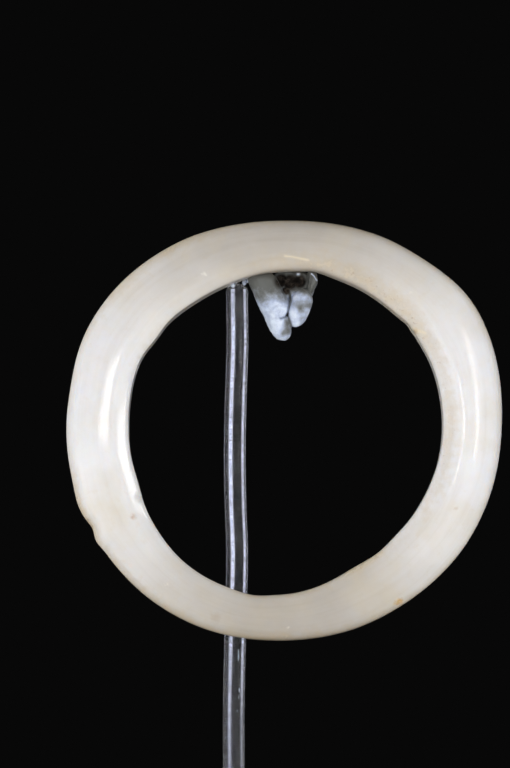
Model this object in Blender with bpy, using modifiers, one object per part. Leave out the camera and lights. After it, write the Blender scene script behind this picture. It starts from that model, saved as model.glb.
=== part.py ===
"""A bracelet of pale stone on the stand that shows it: a clear rod, its foot and a lump of putty.

Metres, +Z up. The front of the bracelet looks along -Y, and the origin is the middle of the
foot's underside, under the rod. A clock angle starts at 12 o'clock and runs clockwise as seen
from the front. On the ring, turn is the angle round the wall's own section: 0 points away from
the bore and a quarter turn points to the front.
"""

import math

import bpy
import numpy as np

# Bracelet: the bore, the wall seen from the front, and the band from front to back
BORE_WIDTH = 0.0563
BORE_HEIGHT = 0.0590
WALL = 0.0101
BAND = 0.0095

# Hand-ground form, as shares read at every hour from 12 o'clock
BORE_SHARES = (1.003, 1.011, 1.020, 0.996, 0.945, 0.909, 0.969, 1.009, 1.006, 1.006, 1.040, 0.994)
WALL_SHARES = (0.905, 1.035, 1.145, 1.045, 1.074, 1.032, 0.823, 0.852, 1.011, 1.110, 1.091, 1.079)
BAND_SHARES = (0.98, 1.03, 1.04, 0.98, 0.95, 1.02)

# Flats of the wall's section. A facet runs along the bore's edge, its width read at every second
# hour. The face leans a little to the rim, and a shoulder rounds off the corner between them.
FACET_WIDTHS = (0.0022, 0.0034, 0.0036, 0.0030, 0.0020, 0.0020)
FACET_LEAN = math.radians(20)
FACE_LEAN = math.radians(7)
SHOULDER_LEAN = math.radians(45)
SHOULDER_SHARE = 0.79
SECTION_SHARPNESS = 8

# Local marks of the grinding: clock angle and half width in degrees, height in metres
BORE_MARKS = ((10, 5, 0.00033), (48, 4, 0.00031), (143, 8, 0.00042), (192, 6, 0.00031),
              (253, 8, -0.00039), (306, 6, -0.00042))
RIM_MARKS = ((52, 10, 0.00048), (240.5, 2.5, 0.00032), (251, 5, 0.00041), (283, 8, -0.00023))
RIM_CHIP = (244.5, 2, -0.00025)

# Stand: the rod, what it seats in, and where it holds the bracelet
ROD_DIAMETER = 0.0039
ROD_BEND = (0.0, 0.0, 0.0, 0.00016, 0.0004, 0.0006, 0.00029, 0.00018, 0.00036, 0.00067, 0.00058)
ROD_DOME = 0.0012
FOOT_WIDTH = 0.060
FOOT_DEPTH = 0.060
FOOT_HEIGHT = 0.012
FOOT_EDGE = 0.0008
SOCKET_FLOOR = 0.003
BRACELET_LIFT = 0.0319
BRACELET_ASIDE = 0.0095
SEAT_FORWARD = 0.0028
CLEARANCE = 0.0003

# Putty: each lobe runs down a bent line, read at even steps. Places are measured to the right of
# the rod's side, drops down from the rod's top end, and half widths across the lobe.
LEFT_LOBE = {
    "places": (0.0017, 0.0026, 0.0036, 0.0047, 0.0054, 0.0059, 0.0064),
    "half_widths": (0.0035, 0.0035, 0.0030, 0.0030, 0.0027, 0.0027, 0.0033),
    "drops": (-0.0035, 0.0101),
    "depth_share": 0.95,
    "set_back": -0.0014,
}
RIGHT_LOBE = {
    "places": (0.0100, 0.0098, 0.0094, 0.0089, 0.0086),
    "half_widths": (0.0025, 0.0022, 0.0020, 0.0020, 0.0021),
    "drops": (0.0008, 0.0077),
    "depth_share": 1.00,
    "set_back": -0.0026,
}
BACK_LOBE = {
    "places": (0.0079, 0.0079, 0.0080),
    "half_widths": (0.0045, 0.0042, 0.0038),
    "drops": (-0.0030, 0.0042),
    "depth_share": 0.45,
    "set_back": 0.0000,
}
LIP_LOBE = {
    "places": (0.0113, 0.0117, 0.0118, 0.0112, 0.0106),
    "half_widths": (0.0010, 0.0010, 0.0008, 0.0008, 0.0008),
    "drops": (-0.0034, 0.0026),
    "depth_share": 2.00,
    "set_back": -0.0012,
}

# Colours and finish
STONE_COLOUR = (0.72, 0.68, 0.60)
STONE_ROUGHNESS = 0.28
CLEAR_COLOUR = (0.95, 0.97, 1.0)
CLEAR_ROUGHNESS = 0.03
CLEAR_ALPHA = 0.35
CLEAR_TRANSMISSION = 0.9
CLEAR_IOR = 1.49
PUTTY_COLOUR = (0.50, 0.53, 0.60)
PUTTY_ROUGHNESS = 0.5

# Worked out from the sizes above
FULL_TURN = 2 * math.pi
ROD_RADIUS = ROD_DIAMETER / 2
HALF_BAND = BAND / 2
MIDDLE_RADIUS = (BORE_WIDTH + BORE_HEIGHT) / 4 + WALL / 2
SOCKET_RADIUS = ROD_RADIUS + CLEARANCE

# Stretches of the ring, between clock angles, that meet the rod, and how closely they are read
TOP_STRETCH = (math.radians(-45), math.radians(10))
BOTTOM_STRETCH = (math.radians(150), math.radians(230))
READINGS_ALONG = 300
READINGS_AROUND = 180

# Mesh steps
RING_SEGMENTS = 144
SECTION_SEGMENTS = 22
LOBE_SEGMENTS = 18
LOBE_RINGS = 13
ROUND_SEGMENTS = 32
DOME_SHARES = (0.94, 0.8, 0.55, 0.2)


def remove_everything():
    """Empty the file without closing it."""
    for item in list(bpy.data.objects):
        bpy.data.objects.remove(item, do_unlink=True)


def new_collection(name):
    """A collection in the scene, for the part or for its cutters."""
    group = bpy.data.collections.new(name)
    bpy.context.scene.collection.children.link(group)
    return group


def move_to(item, group):
    """Keep an object in one collection only."""
    for holder in list(item.users_collection):
        holder.objects.unlink(item)
    group.objects.link(item)


def as_cutter(item, group):
    """Hide a helper from renders and show it as wires."""
    item.hide_render = True
    item.display_type = "WIRE"
    move_to(item, group)


def material(name, colour, roughness):
    """A Principled material with plain values."""
    made = bpy.data.materials.new(name)
    made.use_nodes = True
    shader = made.node_tree.nodes["Principled BSDF"]
    shader.inputs["Base Color"].default_value = (*colour, 1.0)
    shader.inputs["Roughness"].default_value = roughness
    shader.inputs["Metallic"].default_value = 0.0
    return made


def clear_material(name):
    """Clear acrylic."""
    made = material(name, CLEAR_COLOUR, CLEAR_ROUGHNESS)
    shader = made.node_tree.nodes["Principled BSDF"]
    shader.inputs["Alpha"].default_value = CLEAR_ALPHA
    shader.inputs["Transmission Weight"].default_value = CLEAR_TRANSMISSION
    shader.inputs["IOR"].default_value = CLEAR_IOR
    return made


def cut(item, cutter, operation="DIFFERENCE"):
    """Join another mesh to this one, or cut it away."""
    step = item.modifiers.new(operation.title() + " " + cutter.name, "BOOLEAN")
    step.operation = operation
    step.object = cutter
    step.solver = "EXACT"


def shade_smooth(mesh, sharp_angle=math.radians(40)):
    """Smooth shading that keeps real edges."""
    mesh.shade_smooth()
    mesh.set_sharp_from_angle(angle=sharp_angle)


def vertex_places(mesh):
    """All the vertex places of a mesh, one row each."""
    flat = np.empty(len(mesh.vertices) * 3)
    mesh.vertices.foreach_get("co", flat)
    return flat.reshape(-1, 3)


def set_vertex_places(mesh, places):
    """Move all the vertices of a mesh at once."""
    mesh.vertices.foreach_set("co", np.asarray(places).ravel())
    mesh.update()


def through(readings, clock):
    """Smooth closed curve through readings spaced evenly round the clock."""
    values = np.asarray(readings, dtype=float)
    place = np.asarray(clock) / FULL_TURN * len(values)
    hour = np.floor(place).astype(int)
    rest = place - hour
    before, here, ahead, beyond = (values[(hour + step) % len(values)] for step in (-1, 0, 1, 2))
    bend = 2 * before - 5 * here + 4 * ahead - beyond
    twist = 3 * (here - ahead) + beyond - before
    return here + 0.5 * rest * (ahead - before + rest * (bend + rest * twist))


def marks(features, clock):
    """Sum of small bell-shaped rises and dips round the ring."""
    height = np.zeros_like(np.asarray(clock, dtype=float))
    for centre, half_width, rise in features:
        away = (np.degrees(clock) - centre + 180) % 360 - 180
        height += rise * np.exp(-((away / half_width) ** 2))
    return height


def plain_bore(clock):
    """Radius of the bore without its local marks: an oval times the hour's share."""
    oval = 1 / np.hypot(np.sin(clock) / (BORE_WIDTH / 2), np.cos(clock) / (BORE_HEIGHT / 2))
    return oval * through(BORE_SHARES, clock)


def bore_and_rim(clock):
    """Radius of the bore's edge and of the outer rim."""
    bore = plain_bore(clock)
    rim = bore + WALL * through(WALL_SHARES, clock) + marks(RIM_MARKS + (RIM_CHIP,), clock)
    return bore + marks(BORE_MARKS, clock), rim


def section_reach(turn, half_wall, half_band, facet):
    """Distance from the section's middle to its edge: flats blended into one another.

    The flats are the rim, the bore's wall, a face and a facet to the front and to the back,
    and a shoulder between each face and the rim.
    """
    quarter = math.pi / 2
    corner_away = half_wall * math.cos(SHOULDER_LEAN) + half_band * math.sin(SHOULDER_LEAN)
    facet_away = (half_wall - facet) * math.sin(FACET_LEAN) + half_band * math.cos(FACET_LEAN)
    flats = [(0.0, half_wall), (math.pi, half_wall)]
    for side in (1, -1):
        flats.append((side * SHOULDER_LEAN, SHOULDER_SHARE * corner_away))
        flats.append((side * (quarter - FACE_LEAN), half_band))
        flats.append((side * (quarter + FACET_LEAN), facet_away))
    total = 0.0
    for direction, away in flats:
        nearness = np.clip(np.cos(turn - direction) / away, 0, None)
        total = total + nearness ** SECTION_SHARPNESS
    return total ** (-1 / SECTION_SHARPNESS)


def ring_surface(clock, turn, grow=0.0):
    """Places on the bracelet's surface, in its own frame: X right, -Y front, Z up."""
    bore, rim = bore_and_rim(clock)
    half_wall = (rim - bore) / 2
    half_band = HALF_BAND * through(BAND_SHARES, clock)
    facet = through(FACET_WIDTHS, clock)
    probe = np.radians(np.arange(0, 360, 2))[:, None]
    reach = section_reach(probe, half_wall, half_band, facet)
    across = reach * np.cos(probe)
    forward = reach * np.sin(probe)
    reach = section_reach(turn, half_wall, half_band, facet)
    low = across.min(axis=0)
    share = (reach * np.cos(turn) - low) / (across.max(axis=0) - low)
    side = (share - 0.5) * (rim - bore)
    front = reach * np.sin(turn) * half_band / forward.max(axis=0)
    swell = 1 + grow / np.hypot(side, front)
    radius = (bore + rim) / 2 + side * swell
    return np.stack([radius * np.sin(clock), -front * swell, radius * np.cos(clock)], axis=-1)


def lean_angle():
    """Lean of the bracelet, its top to the back.

    The bore's top rests on the rod's end, with the band's middle SEAT_FORWARD in front of the
    rod's axis, while the back of the ring's bottom leans against the rod's front.
    """
    top = sum(bore_and_rim(np.array(0.0))) / 2
    bottom = sum(bore_and_rim(np.array(math.pi))) / 2
    height = top + bottom
    sideways = ROD_RADIUS + CLEARANCE - SEAT_FORWARD
    return math.asin(sideways / math.hypot(height, HALF_BAND)) + math.atan2(HALF_BAND, height)


def leaned(places, lean):
    """Places in the bracelet's frame turned by its lean."""
    x, y, z = places.T
    back = y * math.cos(lean) + z * math.sin(lean)
    up = z * math.cos(lean) - y * math.sin(lean)
    return np.stack([x, back, up], axis=-1)


def ring_patch(stretch):
    """Close-set places on one stretch of the ring."""
    along = np.linspace(stretch[0], stretch[1], READINGS_ALONG)
    around = np.linspace(0, FULL_TURN, READINGS_AROUND)
    clock, turn = np.meshgrid(along, around)
    return ring_surface(clock.ravel(), turn.ravel())


def bracelet_place():
    """Where the bracelet's middle is, and its lean."""
    lean = lean_angle()
    bottom = leaned(ring_patch(BOTTOM_STRETCH), lean)
    lowest = bottom[:, 2].min()
    beside_rod = np.abs(bottom[:, 0] + BRACELET_ASIDE) < ROD_RADIUS
    furthest_back = bottom[beside_rod, 1].max()
    middle = (
        BRACELET_ASIDE,
        -ROD_RADIUS - CLEARANCE - furthest_back,
        FOOT_HEIGHT + BRACELET_LIFT - lowest,
    )
    return middle, lean


def dome_drop(away):
    """How far the rod's domed end has fallen at this distance from the rod's axis."""
    return ROD_DOME * (1 - np.sqrt(np.clip(1 - (away / ROD_RADIUS) ** 2, 0, 1)))


def rod_top(middle, lean):
    """Height of the rod's domed end: just clear of the bore's wall above it."""
    wall = leaned(ring_patch(TOP_STRETCH), lean) + np.array(middle)
    away = np.hypot(wall[:, 0] - ROD_BEND[-1], wall[:, 1])
    above_rod = away < ROD_RADIUS
    return (wall[above_rod, 2] + dome_drop(away[above_rod])).min() - CLEARANCE


def make_ring(name, group, grow=0.0):
    """A torus whose vertices are moved onto the bracelet's surface."""
    bpy.ops.mesh.primitive_torus_add(
        major_segments=RING_SEGMENTS,
        minor_segments=SECTION_SEGMENTS,
        major_radius=MIDDLE_RADIUS,
        minor_radius=WALL / 2,
    )
    ring = bpy.context.object
    ring.name = name
    x, y, z = vertex_places(ring.data).T
    clock = np.arctan2(x, y)
    turn = np.arctan2(z, np.hypot(x, y) - MIDDLE_RADIUS)
    set_vertex_places(ring.data, ring_surface(clock, turn, grow))
    shade_smooth(ring.data)
    move_to(ring, group)
    return ring


def make_bracelet(group, middle, lean):
    """The bracelet: one closed ring of stone."""
    ring = make_ring("bracelet", group)
    ring.location = middle
    ring.rotation_euler = (-lean, 0, 0)
    ring.data.materials.append(material("polished pale stone", STONE_COLOUR, STONE_ROUGHNESS))
    return ring


def make_rod(group, top):
    """The rod, slightly bent as hand-drawn rod is, from the socket's bottom to the seat."""
    bottom = SOCKET_FLOOR + CLEARANCE
    bend_height = (top - ROD_DOME - FOOT_HEIGHT) / (len(ROD_BEND) - 1)
    places = [(0.0, bottom, 1.0)]
    for step, aside in enumerate(ROD_BEND):
        places.append((aside, FOOT_HEIGHT + step * bend_height, 1.0))
    for share in DOME_SHARES:
        places.append((ROD_BEND[-1], top - dome_drop(share * ROD_RADIUS), share))
    curve = bpy.data.curves.new("rod", "CURVE")
    curve.dimensions = "3D"
    curve.bevel_depth = ROD_RADIUS
    curve.bevel_resolution = 4
    curve.use_fill_caps = True
    line = curve.splines.new("POLY")
    line.points.add(len(places) - 1)
    for point, (aside, height, share) in zip(line.points, places):
        point.co = (aside, 0.0, height, 1.0)
        point.radius = share
    line.use_smooth = True
    rod = bpy.data.objects.new("rod", curve)
    group.objects.link(rod)
    curve.materials.append(clear_material("clear acrylic rod"))
    return rod


def make_foot(group, cutters):
    """The foot: a clear block with a blind hole for the rod."""
    bpy.ops.mesh.primitive_cube_add(size=1, location=(0, 0, FOOT_HEIGHT / 2))
    foot = bpy.context.object
    foot.name = "foot"
    foot.scale = (FOOT_WIDTH, FOOT_DEPTH, FOOT_HEIGHT)
    bpy.ops.object.transform_apply(location=False, rotation=False, scale=True)
    edges = foot.modifiers.new("Eased edges", "BEVEL")
    edges.width = FOOT_EDGE
    edges.segments = 2
    bpy.ops.mesh.primitive_cylinder_add(
        vertices=ROUND_SEGMENTS,
        radius=SOCKET_RADIUS,
        depth=FOOT_HEIGHT,
        location=(0, 0, SOCKET_FLOOR + FOOT_HEIGHT / 2),
    )
    socket = bpy.context.object
    socket.name = "socket cutter"
    as_cutter(socket, cutters)
    cut(foot, socket)
    move_to(foot, group)
    foot.data.materials.append(clear_material("clear acrylic block"))
    return foot


def make_lobe(name, lobe, rod_side, top, group):
    """One lobe of putty: a ball drawn out down a bent line.

    Each of the ball's sections moves to its place on the line, and its radius is multiplied by
    the half width read there, so both ends stay round.
    """
    bpy.ops.mesh.primitive_uv_sphere_add(
        segments=LOBE_SEGMENTS, ring_count=LOBE_RINGS, radius=1
    )
    item = bpy.context.object
    item.name = name
    x, y, z = vertex_places(item.data).T
    share = (1 - z) / 2
    stations = np.linspace(0, 1, len(lobe["places"]))
    half_width = np.interp(share, stations, lobe["half_widths"])
    first_drop, last_drop = lobe["drops"]
    place = rod_side + np.interp(share, stations, lobe["places"]) + half_width * x
    depth = lobe["set_back"] + lobe["depth_share"] * half_width * y
    height = top - first_drop - share * (last_drop - first_drop)
    set_vertex_places(item.data, np.stack([place, depth, height], axis=-1))
    move_to(item, group)
    return item


def make_putty(group, cutters, middle, lean, top):
    """The putty: lobes pressed together under the bore's top wall, beside the rod."""
    rod_side = ROD_BEND[-1] + ROD_RADIUS
    putty = make_lobe("putty", LEFT_LOBE, rod_side, top, group)
    further = {"right lobe": RIGHT_LOBE, "back lobe": BACK_LOBE, "lip lobe": LIP_LOBE}
    for name, lobe in further.items():
        other = make_lobe(name, lobe, rod_side, top, cutters)
        as_cutter(other, cutters)
        cut(putty, other, "UNION")
    room_for_ring = make_ring("ring room", cutters, CLEARANCE)
    room_for_ring.location = middle
    room_for_ring.rotation_euler = (-lean, 0, 0)
    as_cutter(room_for_ring, cutters)
    cut(putty, room_for_ring)
    bpy.ops.mesh.primitive_cylinder_add(
        vertices=ROUND_SEGMENTS,
        radius=SOCKET_RADIUS,
        depth=BORE_HEIGHT / 2,
        location=(ROD_BEND[-1], 0, top),
    )
    room_for_rod = bpy.context.object
    room_for_rod.name = "rod room"
    as_cutter(room_for_rod, cutters)
    cut(putty, room_for_rod)
    putty.data.materials.append(material("grey mounting putty", PUTTY_COLOUR, PUTTY_ROUGHNESS))
    return putty


def main():
    """Build the bracelet and its stand."""
    remove_everything()
    part = new_collection("stone bracelet")
    cutters = new_collection("cutters")
    middle, lean = bracelet_place()
    top = rod_top(middle, lean)
    make_bracelet(part, middle, lean)
    make_rod(part, top)
    make_foot(part, cutters)
    make_putty(part, cutters, middle, lean, top)
    print("bracelet middle", [round(value * 1000, 2) for value in middle], "mm")
    print("lean", round(math.degrees(lean), 2), "degrees, rod top", round(top * 1000, 2), "mm")


main()
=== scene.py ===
# %% [markdown]
# # A stone bracelet on its rod stand
#
# The object is a closed bangle of creamy, slightly translucent stone. Somebody ground it by hand,
# so it is nearly round and never quite round. It hangs on the domed end of a clear acrylic rod,
# and a lump of blue-grey putty stops it from turning.
#
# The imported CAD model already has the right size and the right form. This lesson gives it its
# looks: finer surfaces, worked out with numpy on grids of two parameters, and materials made of
# nodes. We begin by opening the CAD model as a fixed frame, and keep its box for later.

# %% Open the frame
import math

import bpy
import numpy as np
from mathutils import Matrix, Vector, noise


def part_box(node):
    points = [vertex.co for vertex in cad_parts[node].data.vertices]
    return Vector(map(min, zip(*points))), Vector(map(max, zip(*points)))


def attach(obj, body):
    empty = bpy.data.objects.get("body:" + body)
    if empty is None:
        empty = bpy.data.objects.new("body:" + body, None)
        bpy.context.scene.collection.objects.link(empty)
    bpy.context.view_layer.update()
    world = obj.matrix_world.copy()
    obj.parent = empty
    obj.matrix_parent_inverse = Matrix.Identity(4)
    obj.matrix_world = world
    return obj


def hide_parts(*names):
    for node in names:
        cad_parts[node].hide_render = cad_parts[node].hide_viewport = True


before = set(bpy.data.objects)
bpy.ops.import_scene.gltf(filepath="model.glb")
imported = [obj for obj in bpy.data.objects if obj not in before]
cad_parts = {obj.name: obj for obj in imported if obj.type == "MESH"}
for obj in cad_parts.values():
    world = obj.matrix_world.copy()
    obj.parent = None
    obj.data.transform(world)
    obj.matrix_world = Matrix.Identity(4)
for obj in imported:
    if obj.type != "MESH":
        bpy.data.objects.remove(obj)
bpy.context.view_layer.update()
print("CAD nodes:", ", ".join(sorted(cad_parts)))

# %% [markdown]
# ## Where the camera stands
#
# The photo looks straight at the bracelet's open face. One of its pixels is 0.18 mm at the
# bracelet's middle, which follows from the rod's width. The edges of the ring show very little
# perspective, so the camera is nearly a metre away with a long lens.
#
# Knowing the camera first pays off later: any feature that we spot at some pixel of the photo
# can be put on the surface that carries it.

# %% The camera and the photo's pixels
PHOTO_WIDTH = 510
PHOTO_HEIGHT = 768
PIXEL = 0.00018
CAMERA_AWAY = 0.9
MIDDLE_PIXEL = (286.5, 435.4)
SENSOR = 36.0
NEAREST_SEEN = 0.01

lowest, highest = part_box("bracelet")
print("bracelet's box:", [round(v * 1000, 2) for v in (*lowest, *highest)], "mm")

# %% [markdown]
# ## The bracelet's form
#
# A bangle is a ring whose wall has a section of its own. On this one the inner edge is ground to
# a facet, the face is nearly flat, and a rounded shoulder leads to the rim. A torus with a few
# dents would be quick but wrong all over. So the surface is a function of two angles instead:
# *clock* runs round the ring and *turn* runs round the section of its wall.
#
# The radii are read at the twelve hours. They are the CAD model's own driving sizes, so the two
# outlines agree. The section is read at every second hour, in more detail than the CAD needs.
#
# Marks of the grinding come on top: a flat or a notch has a place on the clock, a half width in
# degrees and a rise. A ripple has a number of waves round the ring, how often it twists round the
# section, a rise and a start.

# %% Driving sizes of the ring
BORE_WIDTH = 0.0563
BORE_HEIGHT = 0.0590
WALL = 0.0101
BAND = 0.0095
BORE_SHARES = (1.003, 1.011, 1.020, 0.996, 0.945, 0.909, 0.969, 1.009, 1.006, 1.006, 1.040, 0.994)
WALL_SHARES = (0.905, 1.035, 1.145, 1.045, 1.074, 1.032, 0.823, 0.852, 1.011, 1.110, 1.091, 1.079)
BAND_SHARES = (0.98, 1.03, 1.04, 0.98, 0.95, 1.02)
FACET_WIDTHS = (0.0022, 0.0034, 0.0036, 0.0030, 0.0024, 0.0022)
FACET_LEANS = (0.44, 0.38, 0.26, 0.26, 0.35, 0.37)
FACE_LEAN = math.radians(4)
OUTER_LEANS = (0.26, 0.32, 0.34, 0.26, 0.20, 0.20)
RIDGE_SHARES = (0.60, 0.55, 0.55, 0.58, 0.50, 0.44)
SHOULDER_LEAN = math.radians(45)
SHOULDER_SHARE = 0.79
SHARPNESSES = (7, 22, 28, 12, 44, 40)
LEAN = math.radians(3.59)
BORE_MARKS = ((10, 5, 0.00033), (48, 4, 0.00031), (143, 8, 0.00042), (192, 6, 0.00031),
              (253, 8, -0.00039), (306, 6, -0.00042))
RIM_MARKS = ((52, 10, 0.00048), (240.5, 2.5, 0.00032), (251, 5, 0.00041), (283, 8, -0.00023),
             (244.5, 2, -0.00025))
RIPPLES = ((7, 1, 0.000040, 0.4), (11, -1, 0.000018, 2.1), (19, 1, 0.000007, 4.4))
print("wall at the hours:", [round(WALL * share * 1000, 1) for share in WALL_SHARES], "mm")

# %% [markdown]
# How do we get from twelve readings to a ring? Straight lines would show twelve corners, and one
# polynomial through all of them would swing. A Catmull-Rom curve is the middle way: a cubic for
# each stretch, which leaves a reading in parallel to the line between its two neighbours.

# %% Smooth curves through readings
FULL_TURN = 2 * math.pi


def between(readings, rest):
    """Catmull-Rom: from the second to the third of four readings, for a rest from 0 to 1."""
    before, here, ahead, beyond = readings
    bend = 2 * before - 5 * here + 4 * ahead - beyond
    twist = 3 * (here - ahead) + beyond - before
    return here + 0.5 * rest * (ahead - before + rest * (bend + rest * twist))


def through(readings, clock):
    """Smooth closed curve through readings spaced evenly round the clock."""
    values = np.asarray(readings, dtype=float)
    place = np.asarray(clock) / FULL_TURN * len(values)
    hour = np.floor(place).astype(int)
    return between([values[(hour + step) % len(values)] for step in (-1, 0, 1, 2)], place - hour)


def marks(features, clock):
    """Sum of bells round the ring: rise times e to minus the square of (degrees away / half width)."""
    height = np.zeros_like(clock)
    for centre, half_width, rise in features:
        away = (np.degrees(clock) - centre + 180) % 360 - 180
        height += rise * np.exp(-((away / half_width) ** 2))
    return height


def bore_and_rim(clock):
    """Radii of the bore and the rim: an oval times the hour's share, then the wall added to it."""
    oval = 1 / np.hypot(np.sin(clock) / (BORE_WIDTH / 2), np.cos(clock) / (BORE_HEIGHT / 2))
    bore = oval * through(BORE_SHARES, clock)
    rim = bore + WALL * through(WALL_SHARES, clock) + marks(RIM_MARKS, clock)
    return bore + marks(BORE_MARKS, clock), rim


# %% [markdown]
# Cut through, the wall is a rounded polygon: the bore's facet, the face, the ridge, the shoulder
# and the rim. We give each flat a direction and a distance from the middle, and let them blend.
# The *sharpness* decides how. A low one melts the flats into an egg shape, and a high one leaves
# crisp corners. That matters for the polish, because a highlight is a soft band on a round
# corner, and on a crisp one it is a thin line.

# %% The wall's section, carried round the ring
RING_STEPS = 700
SECTION_STEPS = 140
PROBE_DEGREES = 2


def section_reach(turn, half_wall, half_band, facet, facet_lean, ridge_share, outer_lean, sharpness):
    """Distance from the section's middle to its edge.

    Each flat has a direction and a distance. The edge is where the flats blend: the sum of
    (cosine of the angle to the flat / its distance) to the power of the sharpness is 1.
    """
    corner_away = half_wall * math.cos(SHOULDER_LEAN) + half_band * math.sin(SHOULDER_LEAN)
    ridge = (2 * ridge_share - 1) * half_wall
    ridge_front = (half_band - ridge * math.sin(FACE_LEAN)) / math.cos(FACE_LEAN)
    outer_away = ridge_front * np.cos(outer_lean) + ridge * np.sin(outer_lean)
    facet_away = (half_wall - facet) * np.sin(facet_lean) + half_band * np.cos(facet_lean)
    flats = [(0.0, half_wall), (math.pi, half_wall)]
    for side in (1, -1):
        flats.append((side * SHOULDER_LEAN, SHOULDER_SHARE * corner_away))
        flats.append((side * (math.pi / 2 - FACE_LEAN), half_band))
        flats.append((side * (math.pi / 2 - outer_lean), outer_away))
        flats.append((side * (math.pi / 2 + facet_lean), facet_away))
    total = 0.0
    for direction, away in flats:
        nearness = np.clip(np.cos(turn - direction) / away, 0, None)
        total = total + nearness ** sharpness
    return total ** (-1 / sharpness)


def ring_grid(clock, turn):
    """Places on the ring in its own frame, one row for each clock angle: X right, -Y front, Z up.

    The section is stretched so that it just spans the wall from bore to rim and the band from
    front to back. The grinding's ripples swell it a little: a sum of sines of the clock angle
    times a whole number. Then it is carried round: x = radius sin(clock), z = radius cos(clock).
    """
    clock = clock[:, None]
    bore, rim = bore_and_rim(clock)
    half_wall = (rim - bore) / 2
    half_band = BAND / 2 * through(BAND_SHARES, clock)
    flats = [through(readings, clock)
             for readings in (FACET_WIDTHS, FACET_LEANS, RIDGE_SHARES, OUTER_LEANS, SHARPNESSES)]
    probe = np.radians(np.arange(0, 360, PROBE_DEGREES))[None, :]
    reach = section_reach(probe, half_wall, half_band, *flats)
    across = reach * np.cos(probe)
    low = across.min(axis=1, keepdims=True)
    high = across.max(axis=1, keepdims=True)
    furthest = (reach * np.sin(probe)).max(axis=1, keepdims=True)
    reach = section_reach(turn[None, :], half_wall, half_band, *flats)
    share = (reach * np.cos(turn) - low) / (high - low)
    side = (share - 0.5) * (rim - bore)
    front = reach * np.sin(turn) * half_band / furthest
    ripple = sum(rise * np.sin(waves * clock + twists * turn + start)
                 for waves, twists, rise, start in RIPPLES)
    swell = 1 + ripple / np.hypot(side, front)
    radius = (bore + rim) / 2 + side * swell
    front = front * swell
    return np.stack([radius * np.sin(clock), -front, radius * np.cos(clock)], axis=-1), share


clock = np.linspace(0, FULL_TURN, RING_STEPS, endpoint=False)
turn = np.linspace(0, FULL_TURN, SECTION_STEPS, endpoint=False)
ring, wall_share = ring_grid(clock, turn)
print("ring grid:", ring.shape[0], "by", ring.shape[1], "places")

# %% [markdown]
# ## Leaning and placing the ring
#
# On its stand the bracelet leans a little, its top to the back. We turn the whole grid about the
# X axis and then slide it until its box has the same middle as the CAD node's box. The places go
# into the mesh itself and the object stays at the origin, so that patterns on Object coordinates
# stay where they belong.


# %% Lean the ring and put it where the CAD model has it
def leaned(places):
    """Turn by LEAN about X: back = y cos + z sin, up = z cos - y sin."""
    x, y, z = np.moveaxis(places, -1, 0)
    back = y * math.cos(LEAN) + z * math.sin(LEAN)
    up = z * math.cos(LEAN) - y * math.sin(LEAN)
    return np.stack([x, back, up], axis=-1)


ring = leaned(ring)
box_middle = (np.array(lowest) + np.array(highest)) / 2
middle = box_middle - (ring.min(axis=(0, 1)) + ring.max(axis=(0, 1))) / 2
ring = ring + middle
print("bracelet's middle:", np.round(middle * 1000, 2), "mm")

camera_place = np.array([
    middle[0] - (MIDDLE_PIXEL[0] - PHOTO_WIDTH / 2) * PIXEL,
    middle[1] - CAMERA_AWAY,
    middle[2] + (MIDDLE_PIXEL[1] - PHOTO_HEIGHT / 2) * PIXEL,
])
camera = bpy.data.objects.new("camera", bpy.data.cameras.new("camera"))
bpy.context.scene.collection.objects.link(camera)
camera.location = camera_place
camera.rotation_euler = (math.radians(90), 0, 0)
camera.data.sensor_width = SENSOR
camera.data.lens = SENSOR * CAMERA_AWAY / (PHOTO_HEIGHT * PIXEL)
camera.data.clip_start = NEAREST_SEEN
bpy.context.scene.camera = camera
print("lens:", round(camera.data.lens, 1), "mm")


def photo_pixel(places):
    """Pixel of the photo where each place is seen: sideways over depth, times the lens."""
    seen = np.asarray(places) - camera_place
    scale = CAMERA_AWAY / PIXEL / seen[..., 1]
    return np.stack([PHOTO_WIDTH / 2 + seen[..., 0] * scale,
                     PHOTO_HEIGHT / 2 - seen[..., 2] * scale], axis=-1)


# %% [markdown]
# ## Two helpers for meshes
#
# Every new piece is a grid of places, so one function can skin them all. A grid row is a closed
# ring of places. Rows can wrap round to the first one, as on a torus, or end in a single tip, as
# on a ball. If the closed surface turns out to hold a negative volume, its faces look inwards,
# and it is flipped.


# %% Skin a grid, and keep a modifier's result
def skin(name, rows, tips=None):
    """Mesh over a grid of places. Without tips the last row joins the first one."""
    count, around = rows.shape[:2]
    index = np.arange(count * around).reshape(count, around)
    here = index if tips is None else index[:-1]
    following = np.roll(index, -1, axis=0) if tips is None else index[1:]
    beside = np.roll(here, -1, axis=1)
    across = np.roll(following, -1, axis=1)
    quads = np.stack([here, beside, across, following], axis=-1)
    faces = quads.reshape(-1, 4).tolist()
    places = rows.reshape(-1, 3)
    if tips is not None:
        first, last = len(places), len(places) + 1
        places = np.vstack([places, tips])
        faces += [(first, b, a) for a, b in zip(index[0], np.roll(index[0], -1))]
        faces += [(last, a, b) for a, b in zip(index[-1], np.roll(index[-1], -1))]
    mesh = bpy.data.meshes.new(name)
    mesh.from_pydata(places, [], faces)
    mesh.update()
    a, b, c = (places[quads.reshape(-1, 4)[:, corner]] for corner in (0, 1, 2))
    if np.einsum("ij,ij->i", a, np.cross(b, c)).sum() < 0:
        mesh.flip_normals()
    mesh.shade_smooth()
    item = bpy.data.objects.new(name, mesh)
    bpy.context.scene.collection.objects.link(item)
    print(name, "has", len(faces), "faces")
    return item


def keep_result(item):
    """Put what the modifiers made into the object's own mesh."""
    bpy.context.view_layer.update()
    finished = item.evaluated_get(bpy.context.evaluated_depsgraph_get())
    mesh = bpy.data.meshes.new_from_object(finished)
    item.modifiers.clear()
    item.data = mesh
    return item


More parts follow.
